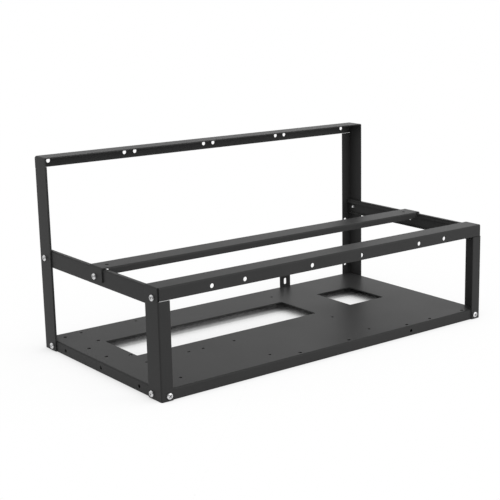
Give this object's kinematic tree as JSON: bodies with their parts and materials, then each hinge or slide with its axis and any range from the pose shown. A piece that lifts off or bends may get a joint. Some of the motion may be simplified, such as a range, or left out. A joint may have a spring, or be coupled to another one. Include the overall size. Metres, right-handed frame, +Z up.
{
  "type": "mining rig frame",
  "caption": "Open-air mining rig frame of folded black sheet steel: a low board tray, a tall rear hoop with fan holes, a lower front hoop, side rails and a middle bar for cards.",
  "frame": {"origin": "on the floor under the middle of the frame's width and depth", "axes": "+X to the right seen from the front, +Y to the rear, +Z up"},
  "size_m": [0.5052, 0.2732, 0.24],
  "materials": {
    "black_powder_coat": "satin powder coat",
    "zinc_plated_steel": "bright zinc plate"
  },
  "bodies": {
    "root": {"base_tray": "black_powder_coat", "rear_hoop": "black_powder_coat", "front_hoop": "black_powder_coat", "left_rail": "black_powder_coat", "right_rail": "black_powder_coat", "middle_bar": "black_powder_coat", "rear_rail_screws": "zinc_plated_steel", "middle_bar_screws": "zinc_plated_steel", "front_rail_screws": "zinc_plated_steel", "rear_foot_screws": "zinc_plated_steel", "front_foot_screws": "zinc_plated_steel"}
  },
  "joints": []
}
